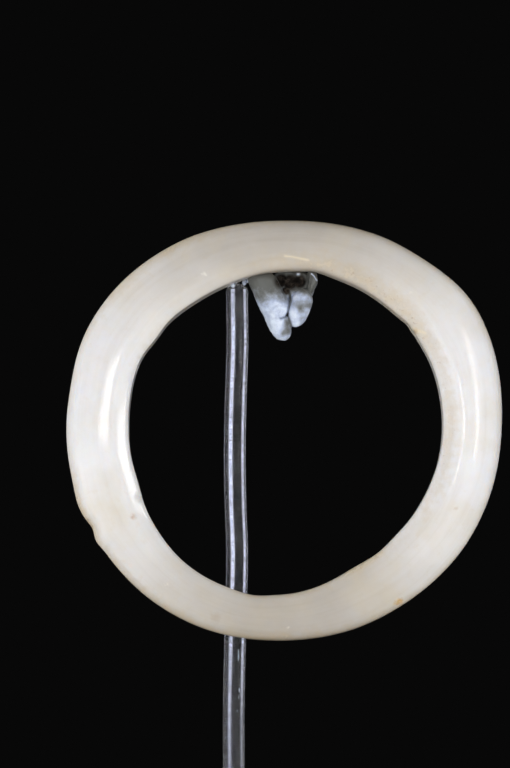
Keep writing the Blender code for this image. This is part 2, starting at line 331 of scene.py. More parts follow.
def mesh_places(mesh):
    """All the places of a mesh's vertices, one row each."""
    flat = np.empty(len(mesh.vertices) * 3)
    mesh.vertices.foreach_get("co", flat)
    return flat.reshape(-1, 3)


def mesh_normals(mesh):
    """The directions in which a mesh's vertices face."""
    flat = np.empty(len(mesh.vertices) * 3)
    mesh.vertices.foreach_get("normal", flat)
    return flat.reshape(-1, 3)


def attribute(mesh, name, values):
    """Keep one number, or one vector, for each vertex."""
    values = np.asarray(values, dtype=np.float32)
    kind, field = ("FLOAT", "value") if values.ndim == 1 else ("FLOAT_VECTOR", "vector")
    mesh.attributes.new(name, kind, "POINT").data.foreach_set(field, values.ravel())


# %% [markdown]
# ## The bracelet's mesh
#
# Small wear is geometry too: a chip on the rim at the lower left, nicks along the bore, a pit
# on the face. Each one is a bell-shaped push towards the middle of the wall's section, so it has a
# real depth from every side. Its place is a pixel of the photo, followed by a half width and a
# depth in metres.

# %% The bracelet
DENTS = (
    (87, 522, 0.0010, 0.00016),
    (91, 529, 0.0007, 0.00016),
    (93, 534, 0.0004, 0.00022),
    (130, 442, 0.00045, 0.00060),
    (138, 481, 0.0005, 0.00035),
    (140, 497, 0.0006, 0.00045),
    (134, 517, 0.0004, 0.00025),
    (411, 331, 0.0007, -0.00012),
    (399, 601, 0.0004, 0.00012),
)
TURNED_AWAY = 0.1
OUT_OF_SIGHT = 1000


def seen_at(pixel, places, normals):
    """Index of the vertex seen nearest to a pixel. One that is turned away counts as far off."""
    away = np.hypot(*(photo_pixel(places) - pixel).T)
    return np.argmin(away + np.where(normals[:, 1] > TURNED_AWAY, OUT_OF_SIGHT, 0))


def away_from_line(pixels, line):
    """Distance in the photo to a bent line: for each run, the nearest place lies between its ends."""
    nearest = np.full(len(pixels), np.inf)
    for start, end in zip(np.array(line[:-1]), np.array(line[1:])):
        run = end - start
        share = np.clip((pixels - start) @ run / (run @ run), 0, 1)
        nearest = np.minimum(nearest, np.hypot(*(pixels - start - share[:, None] * run).T))
    return nearest


bracelet = skin("stone_bracelet", ring)
ring_places = mesh_places(bracelet.data)
ring_normals = mesh_normals(bracelet.data)
core = np.repeat(ring.mean(axis=1), SECTION_STEPS, axis=0)
for px, py, half_width, depth in DENTS:
    centre = ring_places[seen_at((px, py), ring_places, ring_normals)]
    away = np.linalg.norm(ring_places - centre, axis=1)
    push = depth * np.exp(-((away / half_width) ** 2))
    inwards = (core - ring_places) / np.linalg.norm(core - ring_places, axis=1, keepdims=True)
    ring_places = ring_places + inwards * push[:, None]
bracelet.data.vertices.foreach_set("co", ring_places.ravel())
bracelet.data.update()
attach(bracelet, "root")
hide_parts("bracelet")

# %% [markdown]
# The material will need to know where on the ring it is. Each vertex keeps its *grain*: the sine
# and cosine of its clock angle and its share of the way from bore to rim. A second value says how
# much dirt has settled there, and in two places how much painted shade: along the bottom rim, and
# in part along the upper right of the bore. It is a sum of soft patches, each with a place and a
# half width on the clock, then a place and a half width across the wall, and a strength.
#
# A third value marks the few *pale lines* where a scratch or a chipped edge is lighter than the
# stone round it. They are lines through pixels of the photo, with a half width in pixels.

# %% Grain, dirt with painted shade, and pale lines
DIRT_AND_SHADE = (
    (93, 30, 0.10, 0.15, 0.62),
    # Partly brownish dirt, partly painted shade: the band along the upper right of the bore, turned away
    # from the light.
    (24, 15, 0.16, 0.20, 0.55),
    (48, 18, 0.08, 0.16, 0.70),
    (2, 14, 0.10, 0.22, 0.45),
    (148, 12, 0.02, 0.09, 1.00),
    # Painted shade along the bottom rim, which turns away from the light.
    (182, 22, 0.95, 0.16, 0.45),
    (182, 26, 0.02, 0.07, 0.55),
    (222, 20, 0.96, 0.10, 0.50),
    (249, 12, 0.98, 0.05, 0.90),
    (330, 30, 0.97, 0.12, 0.55),
    (300, 14, 0.03, 0.06, 0.30),
)
DIRTY = 0.3
PALE_LINES = (
    (((285, 256), (292, 256.8), (308, 260)), 1.0, 0.55),
    (((411, 328.5), (417, 330.5), (425, 333)), 1.3, 0.70),
    (((398, 600), (401, 602)), 1.5, 0.70),
)

dirt_and_shade = np.zeros_like(wall_share)
for place, spread, share, share_spread, strength in DIRT_AND_SHADE:
    away = ((np.degrees(clock)[:, None] - place + 180) % 360 - 180) / spread
    across = (wall_share - share) / share_spread
    dirt_and_shade += strength * np.exp(-(away ** 2) - across ** 2)
grain = np.stack([
    np.broadcast_to(np.sin(clock)[:, None], wall_share.shape),
    np.broadcast_to(np.cos(clock)[:, None], wall_share.shape),
    wall_share,
], axis=-1).reshape(-1, 3)
ring_pixels = photo_pixel(mesh_places(bracelet.data))
pale = np.zeros(len(ring_pixels))
for line, half_width, strength in PALE_LINES:
    pale = np.maximum(pale, strength * np.exp(-((away_from_line(ring_pixels, line) / half_width) ** 2)))
attribute(bracelet.data, "pale", pale * (mesh_normals(bracelet.data)[:, 1] < 0))
attribute(bracelet.data, "grain", grain)
attribute(bracelet.data, "dirt_and_shade", np.clip(dirt_and_shade, 0, 1).ravel())
print("dirt on", round(100 * np.mean(dirt_and_shade > DIRTY)), "% of the ring, pale lines:", len(PALE_LINES))

# %% [markdown]
# ## Nodes and colours
#
# Colours are written as sRGB hex codes, as a colour picker shows them, and turned to linear
# light here. One function adds a node, whatever its kind: plain values go to its inputs, and
# another node's output is linked to them. The Mix node keeps a set of sockets for each kind of
# data, so those for colours and for plain values are named by their numbers.


# %% Helpers for materials
MIX_FACTOR, MIX_A, MIX_B = 0, 6, 7
MIX_COLOUR = 2
BLEND_A, BLEND_B = 2, 3


def colour(code):
    """sRGB hex to linear: below 0.04045 a twelfth or so, above it a power of 2.4."""
    channels = np.array([int(code[place:place + 2], 16) for place in (1, 3, 5)]) / 255
    linear = np.where(channels <= 0.04045, channels / 12.92, ((channels + 0.055) / 1.055) ** 2.4)
    return (*linear, 1.0)


def add_node(tree, kind, inputs=None, stops=None, **settings):
    """One node with its settings, its inputs' values or links, and a colour ramp's stops."""
    node = tree.nodes.new(kind)
    for name, value in settings.items():
        setattr(node, name, value)
    for name, value in (inputs or {}).items():
        if isinstance(value, bpy.types.NodeSocket):
            tree.links.new(value, node.inputs[name])
        else:
            node.inputs[name].default_value = value
    for place, (position, code) in enumerate(stops or ()):
        steps = node.color_ramp.elements
        step = steps[place] if place < len(steps) else steps.new(position)
        step.position = position
        step.color = colour(code)
    return node


def new_material(name):
    """An empty material: its node tree and its Principled shader."""
    made = bpy.data.materials.new(name)
    made.use_nodes = True
    return made, made.node_tree, made.node_tree.nodes["Principled BSDF"]


# %% [markdown]
# ## Polished stone
#
# Creamy stone with a wax-like polish. Its tone is laid down from broad to fine:
#
# 1. Painted shade: the top and bottom are painted a darker, warm grey cream and the two sides a
#    cool white, since the light falls from the sides. The square of the clock angle's cosine runs
#    from 0 at the sides to 1 at the top and bottom. Clouds a few millimetres wide break it up.
# 2. Broader clouds are warmer.
# 3. Faint concentric layers: noise whose pattern is drawn out along the ring and squeezed
#    across its wall.
# 4. The thin edges have a yellower tint, partly the stone's own and partly painted shade where the
#    section turns away from the light.

# %% The stone's own tone, with painted shade on the top, bottom and edges
LAYER_LENGTH = 0.022
LAYER_WIDTH = 0.0010
LAYER_SHARE = 0.16
CLOUD = 0.0065
CLOUD_SHARE = 0.22
WARM_CLOUD = 0.012
RING_RADIUS = (BORE_WIDTH + BORE_HEIGHT) / 4 + WALL / 2

stone, tree, shader = new_material("polished creamy stone")
where = add_node(tree, "ShaderNodeTexCoord").outputs["Object"]
along = add_node(tree, "ShaderNodeAttribute", attribute_name="grain").outputs["Vector"]
on_ring = add_node(tree, "ShaderNodeSeparateXYZ", {"Vector": along})
# Painted shade: the cosine squared darkens the top and bottom, where the side light falls less.
painted_top_bottom_shade = add_node(tree, "ShaderNodeMath", {0: on_ring.outputs["Y"], 1: on_ring.outputs["Y"]},
                   operation="MULTIPLY")
clouds = add_node(tree, "ShaderNodeTexNoise", {
    "Vector": where, "Scale": 1 / CLOUD, "Detail": 4.0, "Roughness": 0.55,
})
clouded_shade = add_node(tree, "ShaderNodeMix", {
    MIX_FACTOR: CLOUD_SHARE, BLEND_A: painted_top_bottom_shade.outputs["Value"], BLEND_B: clouds.outputs["Fac"],
})
# Cool white at the sides, darker warm grey cream at the top and bottom: painted shade.
body = add_node(tree, "ShaderNodeValToRGB", {"Fac": clouded_shade.outputs["Result"]},
                stops=((0.08, "#f6f7fd"), (0.45, "#e9e7e6"), (0.92, "#c5bfb8")))
warm_clouds = add_node(tree, "ShaderNodeTexNoise", {
    "Vector": where, "Scale": 1 / WARM_CLOUD, "Detail": 5.0, "Roughness": 0.6,
})
warmth = add_node(tree, "ShaderNodeMapRange", {
    "Value": warm_clouds.outputs["Fac"], "From Min": 0.45, "From Max": 0.75, "To Max": 0.34,
})
warm_body = add_node(tree, "ShaderNodeMix", {
    MIX_FACTOR: warmth.outputs["Result"], MIX_A: body.outputs["Color"], MIX_B: colour("#dccda8"),
}, data_type="RGBA")
layers = add_node(tree, "ShaderNodeMapping", {
    "Vector": along,
    "Scale": (RING_RADIUS / LAYER_LENGTH, RING_RADIUS / LAYER_LENGTH, WALL / LAYER_WIDTH),
})
streaks = add_node(tree, "ShaderNodeTexNoise", {
    "Vector": layers.outputs["Vector"], "Scale": 1.0, "Detail": 4.0, "Roughness": 0.6,
})
streak_tone = add_node(tree, "ShaderNodeValToRGB", {"Fac": streaks.outputs["Fac"]},
                       stops=((0.30, "#d9cfbf"), (0.50, "#f7f4ef"), (0.66, "#ffffff")))
layered = add_node(tree, "ShaderNodeMix", {
    MIX_FACTOR: LAYER_SHARE, MIX_A: warm_body.outputs[MIX_COLOUR], MIX_B: streak_tone.outputs["Color"],
}, data_type="RGBA", blend_type="MULTIPLY")
# Edge tint, mostly at the rim: partly the stone's own, partly painted shade on the turned-away edge.
edge = add_node(tree, "ShaderNodeValToRGB", {"Fac": on_ring.outputs["Z"]},
                stops=((0.0, "#484848"), (0.07, "#000000"), (0.88, "#000000"), (1.0, "#e0e0e0")))
edge_tint_and_shade_share = add_node(tree, "ShaderNodeMath", {0: edge.outputs["Color"], 1: clouds.outputs["Fac"]},
                      operation="MULTIPLY")
tinted_and_shaded_edges = add_node(tree, "ShaderNodeMix", {
    MIX_FACTOR: edge_tint_and_shade_share.outputs["Value"],
    MIX_A: layered.outputs[MIX_COLOUR], MIX_B: colour("#d0bf9f"),
}, data_type="RGBA")
print("layers round a ring of", round(RING_RADIUS * 1000, 1), "mm, middle radius")

# %% [markdown]
# Dirt has two grains. *Stains* a millimetre or two wide gather where the dirt value is high, and
# brown *flecks* half that size sit in the worst places. On the bottom rim that value is painted
# shade, and on the upper right of the bore it is partly painted shade, so the stains there are too.
# On top come the pale lines, and the few spots that stand out by themselves. A spot is a pixel of
# the photo, a radius, a strength and a colour, and noise pulls at its outline, since no stain is a disc.

# %% Dirt and painted shade, pale lines and spots
STAIN = 0.0014
STAIN_PULL = 0.7
SPECKLE = 0.0006
FLECK_PULL = 0.26
RAGGEDNESS = 0.0014
SPOTS = (
    (133.0, 517.0, 0.00080, 0.55, "#c4a48a"),
    (216, 617, 0.00110, 0.26, "#b39260"),
    (457, 508, 0.00045, 0.30, "#b08c66"),
    (462, 385, 0.00040, 0.25, "#bfa283"),
    (399, 601, 0.00100, 0.90, "#cda04f"),
    (396, 604, 0.00070, 0.55, "#cfb27c"),
    (416, 332, 0.00090, 0.65, "#bd9553"),
    (204, 274, 0.00060, 0.80, "#fbf8f0"),
    (167, 584, 0.00040, 0.70, "#f6f2ea"),
    (289, 628, 0.00040, 0.60, "#f1ece0"),
    (410, 292, 0.00040, 0.60, "#f3eee2"),
)

# Dirt, with painted shade on the bottom rim and in part on the upper right of the bore.
dirt_and_shade_here = add_node(tree, "ShaderNodeAttribute", attribute_name="dirt_and_shade").outputs["Fac"]
stains = add_node(tree, "ShaderNodeTexNoise", {
    "Vector": where, "Scale": 1 / STAIN, "Detail": 5.0, "Roughness": 0.6,
})
stain_and_shade_level = add_node(tree, "ShaderNodeMath", {0: dirt_and_shade_here, 1: STAIN_PULL, 2: stains.outputs["Fac"]},
                       operation="MULTIPLY_ADD")
stain_and_shade_share = add_node(tree, "ShaderNodeMapRange", {
    "Value": stain_and_shade_level.outputs["Value"], "From Min": 0.58, "From Max": 1.15, "To Max": 0.42,
})
stained_and_shaded = add_node(tree, "ShaderNodeMix", {
    MIX_FACTOR: stain_and_shade_share.outputs["Result"],
    MIX_A: tinted_and_shaded_edges.outputs[MIX_COLOUR], MIX_B: colour("#cdb78e"),
}, data_type="RGBA")
speckles = add_node(tree, "ShaderNodeTexNoise", {
    "Vector": where, "Scale": 1 / SPECKLE, "Detail": 3.0, "Roughness": 0.65,
})
fleck_level = add_node(tree, "ShaderNodeMath", {0: dirt_and_shade_here, 1: FLECK_PULL, 2: speckles.outputs["Fac"]},
                       operation="MULTIPLY_ADD")
fleck_share = add_node(tree, "ShaderNodeMapRange", {
    "Value": fleck_level.outputs["Value"], "From Min": 0.77, "From Max": 0.92, "To Max": 0.45,
})
dirty_and_shaded = add_node(tree, "ShaderNodeMix", {
    MIX_FACTOR: fleck_share.outputs["Result"],
    MIX_A: stained_and_shaded.outputs[MIX_COLOUR], MIX_B: colour("#a07c50"),
}, data_type="RGBA")

ragged = add_node(tree, "ShaderNodeVectorMath", {
    0: speckles.outputs["Color"], 1: (RAGGEDNESS, RAGGEDNESS, RAGGEDNESS), 2: where,
}, operation="MULTIPLY_ADD")
pale = add_node(tree, "ShaderNodeAttribute", attribute_name="pale").outputs["Fac"]
tone = add_node(tree, "ShaderNodeMix", {
    MIX_FACTOR: pale, MIX_A: dirty_and_shaded.outputs[MIX_COLOUR], MIX_B: colour("#f6ead0"),
}, data_type="RGBA").outputs[MIX_COLOUR]
ring_places = mesh_places(bracelet.data)
for px, py, radius, strength, code in SPOTS:
    centre = ring_places[seen_at((px, py), ring_places, ring_normals)] + RAGGEDNESS / 2
    away = add_node(tree, "ShaderNodeVectorMath", {
        0: ragged.outputs["Vector"], 1: centre,
    }, operation="DISTANCE")
    near = add_node(tree, "ShaderNodeMapRange", {
        "Value": away.outputs["Value"], "From Min": radius, "From Max": 0, "To Max": strength,
    })
    tone = add_node(tree, "ShaderNodeMix", {
        MIX_FACTOR: near.outputs["Result"], MIX_A: tone, MIX_B: colour(code),
    }, data_type="RGBA").outputs[MIX_COLOUR]
tree.links.new(tone, shader.inputs["Base Color"])
print("spots on the stone:", len(SPOTS))

# %% [markdown]
# The polish is even but for two places: dirt takes it away, as do the patches of painted shade, and
# years of wear have dulled the ridge that runs round the face. Hairlines from the grinding follow
# the ring. They are finer than a pixel, but they keep the highlights from looking like glass.
#
# What makes it stone and not plaster is the light below the surface. It sinks in some
# millimetres and comes out again warmer, because red travels a little further than blue.

# %% The polish, and light below the surface
DULLED_RIDGE = ((0.49, "#000000"), (0.57, "#ffffff"), (0.68, "#ffffff"), (0.80, "#000000"))
RIDGE_DULLNESS = 0.07
POLISHED, UNPOLISHED = 0.10, 0.34
SCRATCH_WIDTH = 0.00012
SCRATCH_DEPTH = 0.00001
SPECKLE_DEPTH = 0.00003
BUMP_SHARE = 0.12
STONE_SCATTER = 0.0045

shine = add_node(tree, "ShaderNodeMapRange", {
    "Value": stain_and_shade_level.outputs["Value"], "From Min": 0.55, "From Max": 1.1,
    "To Min": POLISHED, "To Max": UNPOLISHED,
})
ridge = add_node(tree, "ShaderNodeValToRGB", {"Fac": on_ring.outputs["Z"]}, stops=DULLED_RIDGE)
rubbed = add_node(tree, "ShaderNodeMath", {
    0: ridge.outputs["Color"], 1: RIDGE_DULLNESS, 2: shine.outputs["Result"],
}, operation="MULTIPLY_ADD")
tree.links.new(rubbed.outputs["Value"], shader.inputs["Roughness"])
hairlines = add_node(tree, "ShaderNodeMapping", {
    "Vector": along,
    "Scale": (RING_RADIUS / LAYER_LENGTH, RING_RADIUS / LAYER_LENGTH, WALL / SCRATCH_WIDTH),
})
scratches = add_node(tree, "ShaderNodeTexNoise", {
    "Vector": hairlines.outputs["Vector"], "Scale": 1.0, "Detail": 2.0,
})
scratched = add_node(tree, "ShaderNodeBump", {
    "Height": scratches.outputs["Fac"], "Strength": BUMP_SHARE, "Distance": SCRATCH_DEPTH,
})
pitted = add_node(tree, "ShaderNodeBump", {
    "Height": speckles.outputs["Fac"], "Strength": BUMP_SHARE, "Distance": SPECKLE_DEPTH,
    "Normal": scratched.outputs["Normal"],
})
tree.links.new(pitted.outputs["Normal"], shader.inputs["Normal"])
shader.inputs["Subsurface Weight"].default_value = 1.0
shader.inputs["Subsurface Radius"].default_value = (1.0, 0.9, 0.78)
shader.inputs["Subsurface Scale"].default_value = STONE_SCATTER
shader.inputs["IOR"].default_value = 1.50
bracelet.data.materials.append(stone)
print("stone material:", len(tree.nodes), "nodes")

# %% [markdown]
# ## The clear rod
#
# Cast acrylic rod, drawn slightly crooked, with a domed end. It is a circle carried up a gently
# bent line. The bend is read at even heights and runs smoothly through the readings. Its last
# place stops just short of the last reading, so that there is always one more ahead.

# %% The rod
ROD_BEND = (0.0, 0.0, 0.0, 0.00016, 0.0004, 0.0006, 0.00029, 0.00018, 0.00036, 0.00067, 0.00058)
LAST_PLACE = len(ROD_BEND) - 1.001
ROD_RADIUS = 0.00195
ROD_DOME = 0.0012
ROD_REACH = 0.00025
FOOT_HEIGHT = 0.012
ROD_STEPS = 420
DOME_STEPS = 24
ROD_SIDES = 96
SHARP_CORNER = math.radians(50)

rod_bottom, rod_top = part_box("rod")[0].z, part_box("rod")[1].z
rod_end = rod_top + ROD_REACH


def rod_line(height):
    """How far the rod's middle is to the right at each height: a smooth curve through ROD_BEND."""
    stations = np.linspace(FOOT_HEIGHT, rod_top - ROD_DOME, len(ROD_BEND))
    place = np.clip((height - stations[0]) / (stations[1] - stations[0]), 0, LAST_PLACE)
    station = place.astype(int)
    values = np.asarray(ROD_BEND)
    around = [values[np.clip(station + step, 0, len(values) - 1)] for step in (-1, 0, 1, 2)]
    return between(around, place - station)


def rod_radius(height):
    """Full radius up to the dome, and the dome is a quarter of an ellipse."""
    into_dome = np.clip((height - (rod_end - ROD_DOME)) / ROD_DOME, 0, 1)
    return ROD_RADIUS * np.sqrt(1 - into_dome ** 2)


straight = np.linspace(rod_bottom, rod_end - ROD_DOME, ROD_STEPS)
dome = rod_end - ROD_DOME + ROD_DOME * np.sin(np.linspace(0, math.pi / 2, DOME_STEPS))[1:-1]
height = np.concatenate([straight, dome])[:, None]
side = np.linspace(0, FULL_TURN, ROD_SIDES, endpoint=False)[None, :]
rod_rows = np.stack([
    rod_line(height) + rod_radius(height) * np.cos(side),
    rod_radius(height) * np.sin(side),
    np.broadcast_to(height, (len(height), ROD_SIDES)),
], axis=-1)
rod_tips = [(0, 0, rod_bottom), (ROD_BEND[-1], 0, rod_end)]
rod = skin("clear_rod", rod_rows, rod_tips)
rod.data.set_sharp_from_angle(angle=SHARP_CORNER)
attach(rod, "root")
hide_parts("rod")

# %% [markdown]
# Cast acrylic is as clear as glass and much softer. This rod is rubbed and pitted by use, and that
# frays the bright lines in it. The wear is in the Normal alone: a clear material stays clear only
# while its other values are plain ones.

# %% Clear cast acrylic
ROD_WEAR = 0.0002
ROD_WEAR_DEPTH = 0.000014
ROD_PIT = 0.00022
ROD_PIT_DEPTH = 0.000025

acrylic, tree, shader = new_material("clear cast acrylic")
where = add_node(tree, "ShaderNodeTexCoord").outputs["Object"]
wear = add_node(tree, "ShaderNodeTexNoise", {
    "Vector": where, "Scale": 1 / ROD_WEAR, "Detail": 3.0, "Roughness": 0.7,
})
worn = add_node(tree, "ShaderNodeBump", {
    "Height": wear.outputs["Fac"], "Strength": 1.0, "Distance": ROD_WEAR_DEPTH,
})
pits = add_node(tree, "ShaderNodeTexNoise", {"Vector": where, "Scale": 1 / ROD_PIT, "Detail": 1.0})
pit_floor = add_node(tree, "ShaderNodeMapRange", {
    "Value": pits.outputs["Fac"], "From Min": 0.56, "From Max": 0.64,
})
pitted = add_node(tree, "ShaderNodeBump", {
    "Height": pit_floor.outputs["Result"], "Strength": 1.0, "Distance": ROD_PIT_DEPTH,
    "Normal": worn.outputs["Normal"],
}, invert=True)
tree.links.new(pitted.outputs["Normal"], shader.inputs["Normal"])
shader.inputs["Base Color"].default_value = colour("#fbfcff")
shader.inputs["Roughness"].default_value = 0.03
shader.inputs["IOR"].default_value = 1.49
shader.inputs["Transmission Weight"].default_value = 1.0
rod.data.materials.append(acrylic)
print("acrylic's IOR:", round(shader.inputs["IOR"].default_value, 2))

# %% [markdown]
# ## The foot
#
# A square block of clear acrylic with polished faces, eased edges and a blind hole for the rod.
# It is one grid as well. Each row is a rounded square, and the rows go from the underside over
# the lower edge, up the sides and over the upper edge. Then they turn into circles, which go down
# the hole. Narrow rows beside the edges keep the shading of the flat faces flat.

# %% The foot
FOOT_HALF = 0.030
FOOT_EDGE = 0.0008
FOOT_CORNER = 0.0012
SOCKET_FLOOR = 0.003
SOCKET_RADIUS = ROD_RADIUS + 0.0003
SOCKET_EASE = 0.0002
GUARD = 0.00015
CORNER_STEPS = 9
SIDE_STEPS = 23
EASE_STEPS = 6


def rounded_square(half, corner, level):
    """A square outline with round corners: one corner's arc and one side, turned four times."""
    arc = np.linspace(0, math.pi / 2, CORNER_STEPS)
    middle = half - corner
    along_side = middle * np.sin(np.linspace(math.pi / 2, -math.pi / 2, SIDE_STEPS + 2))[1:-1]
    quarter = np.concatenate([
        np.stack([middle + corner * np.cos(arc), middle + corner * np.sin(arc)], axis=-1),
        np.stack([along_side, np.full(SIDE_STEPS, half)], axis=-1),
    ])
    turned = [quarter @ np.linalg.matrix_power(np.array([[0, 1], [-1, 0]]), count) for count in range(4)]
    outline = np.concatenate(turned)
    return np.column_stack([outline, np.full(len(outline), level)])


def socket_circle(radius, level):
    """A circle with its places in the same directions as the square's."""
    square = rounded_square(FOOT_HALF, FOOT_CORNER, level)
    size = np.hypot(square[:, 0], square[:, 1])
    return np.column_stack([square[:, :2] * (radius / size)[:, None], square[:, 2]])


ease = np.linspace(0, math.pi / 2, EASE_STEPS)
foot_rows = [rounded_square(FOOT_HALF - FOOT_EDGE - GUARD, FOOT_CORNER, 0.0)]
for angle in ease:
    foot_rows.append(rounded_square(FOOT_HALF - FOOT_EDGE * (1 - math.sin(angle)), FOOT_CORNER,
                                    FOOT_EDGE * (1 - math.cos(angle))))
foot_rows.append(rounded_square(FOOT_HALF, FOOT_CORNER, FOOT_EDGE + GUARD))
foot_rows.append(rounded_square(FOOT_HALF, FOOT_CORNER, FOOT_HEIGHT - FOOT_EDGE - GUARD))
for angle in ease[::-1]:
    foot_rows.append(rounded_square(FOOT_HALF - FOOT_EDGE * (1 - math.sin(angle)), FOOT_CORNER,
                                    FOOT_HEIGHT - FOOT_EDGE * (1 - math.cos(angle))))
foot_rows.append(rounded_square(FOOT_HALF - FOOT_EDGE - GUARD, FOOT_CORNER, FOOT_HEIGHT))
for radius, level in (
    (SOCKET_RADIUS + SOCKET_EASE + GUARD, FOOT_HEIGHT),
    (SOCKET_RADIUS + SOCKET_EASE, FOOT_HEIGHT),
    (SOCKET_RADIUS, FOOT_HEIGHT - SOCKET_EASE),
    (SOCKET_RADIUS, FOOT_HEIGHT - SOCKET_EASE - GUARD),
    (SOCKET_RADIUS, SOCKET_FLOOR + GUARD),
    (SOCKET_RADIUS, SOCKET_FLOOR),
    (SOCKET_RADIUS - GUARD, SOCKET_FLOOR),
):
    foot_rows.append(socket_circle(radius, level))
foot = skin("clear_foot", np.stack(foot_rows), [(0, 0, 0), (0, 0, SOCKET_FLOOR)])
foot.data.set_sharp_from_angle(angle=SHARP_CORNER)
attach(foot, "root")
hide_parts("foot")
foot.data.materials.append(acrylic)

# %% [markdown]
# ## The putty
#
# Mounting putty, rolled between the fingers and pressed in place. Each lobe is a ball drawn out
# down a bent line. Its places are read to the right of the rod's side and its drops below the
# rod's top, because that is where the putty was pressed on.

# %% The putty's lobes
LOBE_SIDES = 64
LOBE_ROWS = 63
LOBES = {
    "left": {
        "places": (0.0017, 0.0026, 0.0036, 0.0047, 0.0054, 0.0059, 0.0064),
        "half_widths": (0.0035, 0.0035, 0.0030, 0.0030, 0.0027, 0.0027, 0.0033),
        "drops": (-0.0035, 0.0101), "depth_share": 0.95, "set_back": -0.0014,
    },
    "right": {
        "places": (0.0100, 0.0098, 0.0094, 0.0089, 0.0086),
        "half_widths": (0.0025, 0.0022, 0.0020, 0.0020, 0.0021),
        "drops": (0.0008, 0.0077), "depth_share": 1.00, "set_back": -0.0026,
    },
    "back": {
        "places": (0.0079, 0.0079, 0.0080),
        "half_widths": (0.0045, 0.0042, 0.0038),
        "drops": (-0.0030, 0.0042), "depth_share": 0.45, "set_back": 0.0000,
    },
    "lip": {
        "places": (0.0113, 0.0117, 0.0118, 0.0112, 0.0106),
        "half_widths": (0.0010, 0.0010, 0.0008, 0.0008, 0.0008),
        "drops": (-0.0034, 0.0026), "depth_share": 2.00, "set_back": -0.0012,
    },
}
ROD_SIDE = ROD_BEND[-1] + ROD_RADIUS


def lobe_rows(places, half_widths, drops, depth_share, set_back):
    """A ball drawn out down a line: each of its circles moves to its place and takes its width."""
    down = np.linspace(0, math.pi, LOBE_ROWS + 2)[1:-1, None]
    round_it = np.linspace(0, FULL_TURN, LOBE_SIDES, endpoint=False)[None, :]
    share = (1 - np.cos(down)) / 2
    stations = np.linspace(0, 1, len(places))
    half_width = np.interp(share, stations, half_widths)
    x = ROD_SIDE + np.interp(share, stations, places) + half_width * np.sin(down) * np.cos(round_it)
    y = set_back + depth_share * half_width * np.sin(down) * np.sin(round_it)
    z = np.broadcast_to(rod_top - drops[0] - share * (drops[1] - drops[0]), x.shape)
    tips = [(ROD_SIDE + places[0], set_back, rod_top - drops[0]),
            (ROD_SIDE + places[-1], set_back, rod_top - drops[1])]
    return np.stack([x, y, z], axis=-1), tips


lobes = [skin(name + "_lobe", *lobe_rows(**lobe)) for name, lobe in LOBES.items()]

# %% [markdown]
# Now the lobes become one lump. A union joins them, and the ring and the rod are cut away, since
# the soft putty took their shapes. A voxel remesh gives the lump an even skin, and a little
# smoothing rounds off what was cut, as fingers do.

# %% Press the lobes together
PUTTY_VOXEL = 0.00011
SOFTENING = 0.5
SOFTENING_ROUNDS = 8

putty = lobes[0]
putty.name = "putty_lump"
for other in lobes[1:]:
    union = putty.modifiers.new("press on " + other.name, "BOOLEAN")
    union.operation = "UNION"
    union.object = other
keep_result(putty)
for other in lobes[1:]:
    bpy.data.objects.remove(other, do_unlink=True)
for name, mesh in (("ring room", bracelet.data), ("rod room", rod.data)):
    room = bpy.data.objects.new(name, mesh)
    bpy.context.scene.collection.objects.link(room)
    bite = putty.modifiers.new(name, "BOOLEAN")
    bite.object = room
    keep_result(putty)
    bpy.data.objects.remove(room, do_unlink=True)
fuse = putty.modifiers.new("fuse", "REMESH")
fuse.mode = "VOXEL"
fuse.voxel_size = PUTTY_VOXEL
fuse.use_smooth_shade = True
soften = putty.modifiers.new("soften", "SMOOTH")
soften.factor = SOFTENING
soften.iterations = SOFTENING_ROUNDS
keep_result(putty)
print("putty's skin has", len(putty.data.vertices), "vertices")

# %% [markdown]
# The lump is modelled the way fingers and tools would do it. The creases between the lobes are
# narrow and deep, the furrows shallow. The hollow is pushed back, ridges are pulled forward, and
# kneading leaves a fine unevenness, made of Perlin noise of three sizes.
#
# All of it is done where the photo shows it, so lines, centres and half widths are in the photo's
# pixels, and depths in metres. The push is full on what faces the camera and fades towards what is
# seen edge on, so that the outline stays where it is.

# %% Creases, furrows, the hollow and the kneading
CREASES = (
    (((289.6, 294), (290.7, 300.5), (288.8, 309.7), (287.3, 315)), 1.1, 0.00085),
    (((288.5, 313.5), (285.5, 317), (280.6, 318.4)), 1.0, 0.00055),
    (((287.5, 315), (291.5, 326)), 1.2, 0.00060),
)
FURROWS = (
    (((311, 291), (306.5, 289), (300, 290.5), (293, 293)), 1.3, 0.00035),
    (((309.5, 287), (311.5, 276)), 1.1, 0.00030),
    (((263, 300), (268, 296), (275, 298)), 1.6, 0.00012),
    (((269, 311), (276, 308), (283, 309)), 1.8, 0.00012),
)
HOLLOWS = (
    ((281.5, 280.5), 6.5, 0.0020),
    ((290, 282), 7.5, 0.0020),
    ((299.5, 281.5), 6.5, 0.0012),
    ((286, 290.5), 4.0, 0.0012),
)
RIDGES = (
    (((290.5, 295), (293.5, 292), (300, 290)), 1.8, 0.00030),
    (((312.5, 273.7), (316.8, 280.6)), 1.6, 0.00018),
    (((297.8, 274.4), (298.6, 274.4)), 2.2, 0.0030),
)
KNEADED = ((0.0016, 0.00009), (0.0006, 0.00004), (0.00025, 0.000012))
EDGE_ON = 0.5

places = mesh_places(putty.data)
facing = np.clip(-mesh_normals(putty.data)[:, 1] / EDGE_ON, 0, 1)
pixels = photo_pixel(places)
backwards = np.zeros(len(places))
for line, half_width, depth in (*CREASES, *FURROWS):
    backwards += depth * np.exp(-((away_from_line(pixels, line) / half_width) ** 2))
for line, half_width, rise in RIDGES:
    backwards -= rise * np.exp(-((away_from_line(pixels, line) / half_width) ** 2))
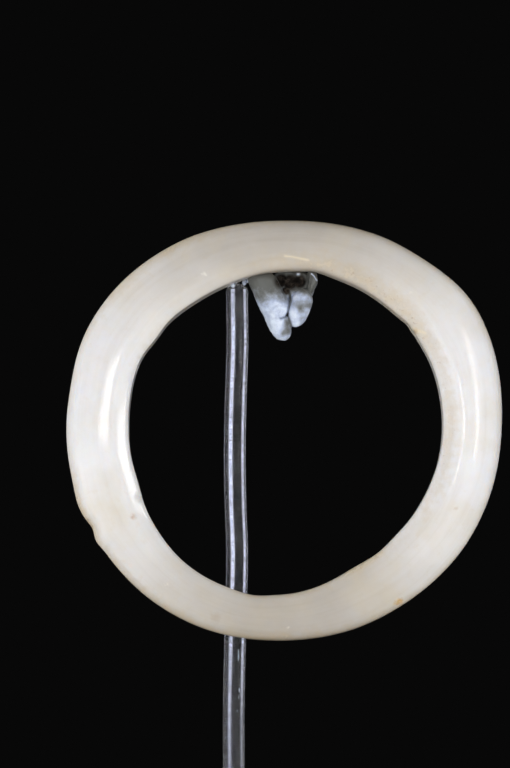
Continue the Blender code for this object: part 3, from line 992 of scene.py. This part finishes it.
# Painted shade mask: the hollow's bells also darken its colour.
hollow_shade = np.zeros(len(places))
hollow_depth = np.zeros(len(places))
for centre, half_width, depth in HOLLOWS:
    bell = np.exp(-((np.hypot(*(pixels - centre).T) / half_width) ** 4))
    hollow_shade = np.maximum(hollow_shade, bell)
    hollow_depth = np.maximum(hollow_depth, depth * bell)
backwards += hollow_depth
places[:, 1] += backwards * facing
for length, rise in KNEADED:
    bumps = np.array([noise.noise(Vector(place) / length) for place in places])
    places += mesh_normals(putty.data) * (rise * bumps)[:, None]
putty.data.vertices.foreach_set("co", places.ravel())
putty.data.update()
print("putty has", len(putty.data.polygons), "faces")
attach(putty, "root")
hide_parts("putty")

# %% [markdown]
# The lump is bluish white where it is fresh and lit, and olive grey near the ring, partly with dirt
# and partly with painted shade where the ring shades it. A *soil and shade* value holds that. It
# rises from the clean level of the photo to the soiled level, is darker in the creases as painted
# shade, and has patches of its own, some of them painted shade on flanks turned from the light. On
# the lip a white streak is a painted highlight, left as bare clean putty, and a small bead is clean.

# %% Where the putty is dirty, and its painted shade
CLEAN_LIT_LEVEL = 310
SOIL_AND_SHADE_LEVEL = 281
MOST_SOIL_AND_SHADE = 0.78
HOLLOW_SHADE_GAIN = 1.5
CREASE_SHADE = 0.34
CREASE_SPREAD = 1.1
SOIL_AND_SHADE_PATCHES = (
    ((301, 309), 4.5, 0.42),
    ((303, 319), 4.5, 0.26),
    ((309, 306), 3.5, 0.30),
    ((296, 297), 5.0, -0.35),
    ((305, 297), 4.0, -0.20),
    ((262, 297), 4.5, 0.22),
    ((299, 302), 5.0, 0.14),
    ((271, 303), 5.0, -0.10),
    # Painted shade: the left lobe's right flank, in the shade of the right lobe.
    ((287.5, 323), 4.0, 0.62),
    ((288.5, 331), 4.0, 0.55),
    ((282.5, 334), 3.5, 0.30),
    # Painted shade under the ring's edge, beside the lip.
    ((310, 287), 4.0, 0.45),
)
CLEAN_AND_HIGHLIGHT_MARKS = (
    # Painted highlight: the glossy white streak on the lip's edge, made bare clean putty.
    (((311.4, 273.7), (314.4, 276.4), (316.8, 280.6)), 0.9),
    (((297.6, 274.2), (298.8, 274.2)), 2.0),
)

# Darker towards the ring: partly olive dirt, partly painted shade where the ring shades the top.
soil_and_shade = MOST_SOIL_AND_SHADE * np.clip((CLEAN_LIT_LEVEL - pixels[:, 1]) / (CLEAN_LIT_LEVEL - SOIL_AND_SHADE_LEVEL), 0, 1)
# Painted shade: darker in the creases.
for line, *_ in CREASES:
    soil_and_shade += CREASE_SHADE * np.exp(-((away_from_line(pixels, line) / CREASE_SPREAD) ** 2))
for centre, half_width, strength in SOIL_AND_SHADE_PATCHES:
    soil_and_shade += strength * np.exp(-((np.hypot(*(pixels - centre).T) / half_width) ** 2))
# Clean marks; the one on the lip's edge is a painted highlight.
for line, half_width in CLEAN_AND_HIGHLIGHT_MARKS:
    away_from_clean_and_highlight = 1 - np.exp(-((away_from_line(pixels, line) / half_width) ** 4))
    soil_and_shade *= away_from_clean_and_highlight
    hollow_shade *= away_from_clean_and_highlight
attribute(putty.data, "soil_and_shade", np.clip(soil_and_shade, 0, 1))
attribute(putty.data, "hollow_shade", np.clip(hollow_shade * facing * HOLLOW_SHADE_GAIN, 0, 1))
print("mean soil on the putty:", round(float(np.mean(np.clip(soil_and_shade, 0, 1))), 2))

# %% [markdown]
# Putty is chalk in a sticky binder: matt, a little waxy, with dust and fluff pressed into it. The
# noise shifts the soil and shade value before a colour ramp turns it into a tone, so the dirt and
# the painted shade end in blotches and not in a line. The hollow is painted in dark tones of its
# own as painted shade, and has no shine at all.

# %% Mounting putty
BLOTCH = 0.0014
BLOTCH_PULL = 0.85
CLAY_TONES = ((0.36, "#e2ecff"), (0.58, "#b9c5de"), (0.82, "#8b9097"), (1.0, "#686a68"))
# Painted shade: near-black tones for the hollow between the lobes.
HOLLOW_SHADE_TONES = ((0.40, "#14100e"), (0.52, "#2b2420"), (0.66, "#5c544b"))
GRIT = 0.0003
GRIT_DEPTH = 0.00003
CLAY_ROUGHNESS = 0.42
CLAY_SCATTER = 0.0006

clay, tree, shader = new_material("blue-grey mounting putty")
where = add_node(tree, "ShaderNodeTexCoord").outputs["Object"]
blotches = add_node(tree, "ShaderNodeTexNoise", {
    "Vector": where, "Scale": 1 / BLOTCH, "Detail": 5.0, "Roughness": 0.65,
})
# Soil and painted shade, broken into blotches below.
soil_and_shade_value = add_node(tree, "ShaderNodeAttribute", attribute_name="soil_and_shade").outputs["Fac"]
blotched_soil_and_shade = add_node(tree, "ShaderNodeMath", {0: blotches.outputs["Fac"], 1: BLOTCH_PULL, 2: soil_and_shade_value},
                      operation="MULTIPLY_ADD")
clay_tone = add_node(tree, "ShaderNodeValToRGB", {"Fac": blotched_soil_and_shade.outputs["Value"]}, stops=CLAY_TONES)
# Painted shade in the hollow.
painted_hollow_shade = add_node(tree, "ShaderNodeValToRGB", {"Fac": blotches.outputs["Fac"]}, stops=HOLLOW_SHADE_TONES)
in_hollow_shade = add_node(tree, "ShaderNodeAttribute", attribute_name="hollow_shade").outputs["Fac"]
clay_with_hollow_shade = add_node(tree, "ShaderNodeMix", {
    MIX_FACTOR: in_hollow_shade, MIX_A: clay_tone.outputs["Color"], MIX_B: painted_hollow_shade.outputs["Color"],
}, data_type="RGBA")
tree.links.new(clay_with_hollow_shade.outputs[MIX_COLOUR], shader.inputs["Base Color"])
grit = add_node(tree, "ShaderNodeTexNoise", {"Vector": where, "Scale": 1 / GRIT, "Detail": 3.0})
gritty = add_node(tree, "ShaderNodeBump", {
    "Height": grit.outputs["Fac"], "Strength": 0.5, "Distance": GRIT_DEPTH,
})
tree.links.new(gritty.outputs["Normal"], shader.inputs["Normal"])
dullness = add_node(tree, "ShaderNodeMapRange", {
    "Value": in_hollow_shade, "To Min": CLAY_ROUGHNESS, "To Max": 1.0,
})
tree.links.new(dullness.outputs["Result"], shader.inputs["Roughness"])
shader.inputs["Subsurface Weight"].default_value = 0.25
shader.inputs["Subsurface Radius"].default_value = (0.8, 0.9, 1.0)
shader.inputs["Subsurface Scale"].default_value = CLAY_SCATTER
putty.data.materials.clear()
putty.data.materials.append(clay)
print("putty material:", len(tree.nodes), "nodes")

# %% [markdown]
# ## Crumbs of putty on the rod, and two painted marks
#
# Whoever set the bracelet up left traces: a smear between the rod's end and the stone, and small
# crumbs along the rod. Two of the balls are painted light: a clean one at the top of the rod's left
# bright line is a painted highlight, and a dark one where the rod's right bright line breaks is
# painted shade. Each one is a ball squashed onto the front of the rod, at the pixel where the photo
# shows it. They are joined into one piece with the putty's own finish, and most of them are clean.

# %% The crumbs, a painted highlight and a painted shade
SMEAR_THICKNESS = 0.00070
SMEARS_AND_GLINT = (
    {"pixel": (244.3, 282.0), "half_size": (2.3, 3.4), "soil_and_shade": 0.20},
    {"pixel": (247.6, 280.5), "half_size": (1.9, 2.4), "soil_and_shade": 0.00},
    # Painted highlight: a clean white ball at the top of the rod's left bright line.
    {"pixel": (233.0, 285.0), "half_size": (2.4, 2.8), "soil_and_shade": 0.00},
    {"pixel": (236.0, 283.0), "half_size": (1.4, 1.0), "soil_and_shade": 0.50},
)
CRUMB_THICKNESS = 0.00010
CRUMBS_AND_SHADE_MARK = (
    # Painted shade: a dark ball where the rod's bright right line breaks.
    {"pixel": (245.0, 322.0), "half_size": (1.3, 0.5), "soil_and_shade": 1.00, "dark": 0.9},
    {"pixel": (240.3, 352.0), "half_size": (0.5, 0.9), "soil_and_shade": 0.30},
    {"pixel": (239.6, 362.0), "half_size": (0.5, 0.8), "soil_and_shade": 0.40},
    {"pixel": (238.5, 655.0), "half_size": (0.8, 6.0), "soil_and_shade": 0.20},
    {"pixel": (225.4, 686.0), "half_size": (0.7, 0.8), "soil_and_shade": 0.90, "dark": 0.1},
    {"pixel": (239.2, 690.0), "half_size": (0.7, 2.2), "soil_and_shade": 0.25},
    {"pixel": (238.6, 697.5), "half_size": (0.6, 1.8), "soil_and_shade": 0.40},
    {"pixel": (237.5, 711.0), "half_size": (0.7, 0.9), "soil_and_shade": 0.30},
)
CRUMB_ROWS = 9
CRUMB_SIDES = 16
FURTHEST_ASIDE = 0.95 * ROD_RADIUS


def squashed_ball(pixel, half_size, thickness):
    """A ball stretched to half_size, in pixels, and flattened. Its middle is on the rod's front.

    Sideways and up it lies where the pixel is seen: the pixel times the depth over the lens. To the
    front it lies on the rod's circle: the root of radius squared minus distance aside squared.
    """
    depth = -ROD_RADIUS - camera_place[1]
    scale = depth * PIXEL / CAMERA_AWAY
    x = camera_place[0] + (pixel[0] - PHOTO_WIDTH / 2) * scale
    z = camera_place[2] - (pixel[1] - PHOTO_HEIGHT / 2) * scale
    aside = np.clip(x - rod_line(np.array(z)), -FURTHEST_ASIDE, FURTHEST_ASIDE)
    centre = np.array([x, -math.sqrt(ROD_RADIUS ** 2 - aside ** 2), z])
    half = np.array([half_size[0] * PIXEL, thickness, half_size[1] * PIXEL])
    down = np.linspace(0, math.pi, CRUMB_ROWS + 2)[1:-1, None]
    round_it = np.linspace(0, FULL_TURN, CRUMB_SIDES, endpoint=False)[None, :]
    ball = np.stack([np.sin(down) * np.cos(round_it), np.sin(down) * np.sin(round_it),
                     np.broadcast_to(np.cos(down), (CRUMB_ROWS, CRUMB_SIDES))], axis=-1)
    tips = [centre + (0, 0, half[2]), centre - (0, 0, half[2])]
    return centre + half * ball, tips


balls = []
for thickness, group in ((SMEAR_THICKNESS, SMEARS_AND_GLINT), (CRUMB_THICKNESS, CRUMBS_AND_SHADE_MARK)):
    for crumb in group:
        rows, tips = squashed_ball(crumb["pixel"], crumb["half_size"], thickness)
        ball = skin(f"crumb_{len(balls)}", rows, tips)
        count = len(ball.data.vertices)
        attribute(ball.data, "soil_and_shade", np.full(count, crumb["soil_and_shade"]))
        # The dark share takes the hollow's painted shade tones.
        attribute(ball.data, "hollow_shade", np.full(count, crumb.get("dark", 0.0)))
        balls.append(ball)
crumbs = balls[0]
with bpy.context.temp_override(active_object=crumbs, selected_editable_objects=balls):
    bpy.ops.object.join()
crumbs.name = "putty_crumbs_and_painted_marks"
print("smears and crumbs:", len(balls))
crumbs.data.materials.append(clay)
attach(crumbs, "root")

# %% [markdown]
# ## Studio
#
# The bracelet stands on a pale table top in a dark studio. The table ends a little behind the
# foot, so the photo's straight view has only the dark behind it, and the clear rod doesn't bend
# the bright table into view. For the same reason the table has no mirror image.

# %% The table top
FLOOR_BACK = 0.05
FLOOR_HALF_WIDTH = 0.6
FLOOR_FRONT = -1.0

floor_mesh = bpy.data.meshes.new("table_top")
floor_mesh.from_pydata(
    [(-FLOOR_HALF_WIDTH, FLOOR_FRONT, 0), (FLOOR_HALF_WIDTH, FLOOR_FRONT, 0),
     (FLOOR_HALF_WIDTH, FLOOR_BACK, 0), (-FLOOR_HALF_WIDTH, FLOOR_BACK, 0)], [], [(0, 1, 2, 3)])
floor = bpy.data.objects.new("table_top", floor_mesh)
bpy.context.scene.collection.objects.link(floor)
floor.visible_glossy = False
table, tree, shader = new_material("pale table top")
shader.inputs["Base Color"].default_value = colour("#dedad2")
shader.inputs["Roughness"].default_value = 0.8
floor.data.materials.append(table)
print("table top ends", round(FLOOR_BACK * 1000), "mm behind the rod")

# %% [markdown]
# Three kinds of light:
#
# - *Soft lights* give the even light of a room with pale walls. They have no mirror image either.
#   A low one in front of the foot stands for light that the table throws up under the ring.
# - *Key lights* are small boxes. Each one stands where the mirror law puts its image on the
#   highlight it is for: a ray from the camera leaves the polish as steeply as it came in. The
#   right key stands near, so that its image falls on the ridge and on the facet at once.
# - *Rod panels* are dim ones behind the bracelet. Clear round things show only what stands around
#   them: the rod bends each panel into a bright line beside its middle, which stays dark.
#
# A light's place is written as on a globe round the bracelet: azimuth 0 is the camera's side and
# 90 the right, and elevation counts up from level.

# %% Lights
LIGHTS_AWAY = 0.8
SOFT_LIGHTS = {
    "left side": {"azimuth": -108, "elevation": 22, "width": 0.3, "height": 0.3, "power": 3.0},
    "right high": {"azimuth": 85, "elevation": 35, "width": 0.4, "height": 0.3, "power": 0.8},
    "above": {"azimuth": 0, "elevation": 28, "width": 0.5, "height": 0.2, "power": 2.6},
}
KEY_LIGHTS = {
    "left key": {"azimuth": -15, "elevation": 7.5, "width": 0.12, "height": 0.08, "power": 0.20},
    "right key": {"azimuth": 35.3, "elevation": 11.1, "width": 0.028, "height": 0.125, "power": 0.085,
                  "away": 0.337},
    "left front": {"azimuth": -27, "elevation": -3, "width": 0.20, "height": 0.15, "power": 0.14},
}
PANEL_TINT = "#e3e8ff"
RIGHT_BEHIND, LEFT_BEHIND = 164.7, -143.3
PANEL_HIGH, PANEL_LOW = -1.2, -7.6
ROD_PANELS = {
    "right behind, high": {"azimuth": RIGHT_BEHIND, "elevation": PANEL_HIGH,
                           "width": 0.22, "height": 0.13, "power": 0.125},
    "right behind, low": {"azimuth": RIGHT_BEHIND, "elevation": PANEL_LOW,
                          "width": 0.15, "height": 0.05, "power": 0.016},
    "left behind, high": {"azimuth": LEFT_BEHIND, "elevation": PANEL_HIGH,
                          "width": 0.24, "height": 0.13, "power": 0.115},
    "left behind, low": {"azimuth": LEFT_BEHIND, "elevation": PANEL_LOW,
                         "width": 0.16, "height": 0.05, "power": 0.009},
}
GLOW_WIDTH = 0.6
GLOW_DEPTH = 0.3
GLOW_AWAY = 0.22
GLOW_LEVEL = 0.002
GLOW_POWER = 0.78


def add_light(name, azimuth, elevation, width, height, power, away=LIGHTS_AWAY, shines=True,
              tint="#ffffff"):
    """A soft box aimed at the bracelet's middle.

    It stands off in the direction (cosine of elevation times sine of azimuth, minus cosine of
    elevation times cosine of azimuth, sine of elevation). A box that doesn't shine stands for
    light from all round, so no polish shows its mirror image.
    """
    box = bpy.data.lights.new(name, "AREA")
    box.shape = "RECTANGLE"
    box.size = width
    box.size_y = height
    box.energy = power
    box.color = colour(tint)[:3]
    lamp = bpy.data.objects.new(name, box)
    level = math.cos(math.radians(elevation))
    towards = Vector((level * math.sin(math.radians(azimuth)),
                      -level * math.cos(math.radians(azimuth)),
                      math.sin(math.radians(elevation))))
    lamp.location = Vector(middle) + away * towards
    lamp.rotation_euler = towards.to_track_quat("Z", "Y").to_euler()
    lamp.visible_camera = False
    lamp.visible_glossy = shines
    bpy.context.scene.collection.objects.link(lamp)
    return lamp


for name, settings in SOFT_LIGHTS.items():
    add_light(name, **settings, shines=False)
for name, settings in KEY_LIGHTS.items():
    add_light(name, **settings)
for name, settings in ROD_PANELS.items():
    add_light(name, **settings, tint=PANEL_TINT)
table_glow = add_light("table glow", 0, 0, GLOW_WIDTH, GLOW_DEPTH, GLOW_POWER, shines=False)
table_glow.location = (middle[0], -GLOW_AWAY, GLOW_LEVEL)
table_glow.rotation_euler = (math.pi, 0, 0)
print("lights:", len(SOFT_LIGHTS) + len(KEY_LIGHTS) + len(ROD_PANELS) + 1)

# %% [markdown]
# The rest of the room is nearly black. Standard is the view transform that shows a colour as it
# was measured, while the filmic ones would turn the bright stone grey.

# %% The dark room
world = bpy.data.worlds.new("dark studio")
world.use_nodes = True
world.node_tree.nodes["Background"].inputs["Color"].default_value = colour("#080808")
bpy.context.scene.world = world
bpy.context.scene.view_settings.view_transform = "Standard"
